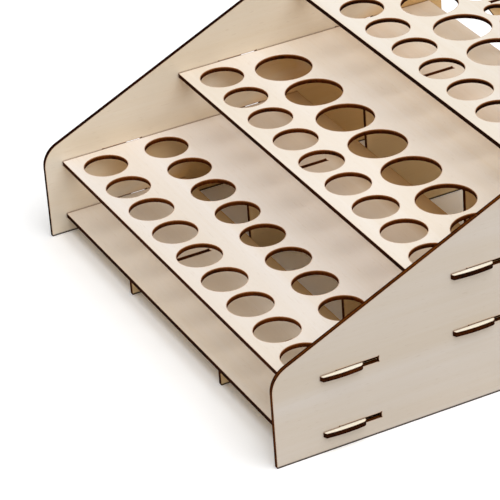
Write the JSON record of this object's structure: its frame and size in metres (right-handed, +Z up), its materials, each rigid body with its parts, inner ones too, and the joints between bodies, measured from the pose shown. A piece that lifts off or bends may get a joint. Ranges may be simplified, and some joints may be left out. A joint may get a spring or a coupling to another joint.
{
  "type": "stepped bottle and brush rack",
  "caption": "Stepped plywood desk rack: hooked-together decks with round holes for paint bottles, jars and brushes between two side panels.",
  "frame": {"origin": "on the floor, under the middle of the rack", "axes": "+X to the right seen from the front, +Y to the back, +Z up"},
  "size_m": [0.297, 0.2712, 0.1701],
  "materials": {
    "birch_ply": "bare sanded birch plywood, 2.8 mm, cut edges charred dark brown"
  },
  "bodies": {
    "shelf_frame": {"base_deck": "birch_ply", "first_deck": "birch_ply", "second_deck": "birch_ply", "top_deck": "birch_ply", "left_support": "birch_ply", "right_support": "birch_ply"},
    "left_panel": {"left_side_panel": "birch_ply"},
    "right_panel": {"right_side_panel": "birch_ply"}
  },
  "joints": [
    {"name": "left_panel_slide", "type": "slide", "parent": "shelf_frame", "child": "left_panel", "axis": [0, -1, 0], "range_m": [0, 0.00975]},
    {"name": "right_panel_slide", "type": "slide", "parent": "shelf_frame", "child": "right_panel", "axis": [0, -1, 0], "range_m": [0, 0.00975]}
  ]
}
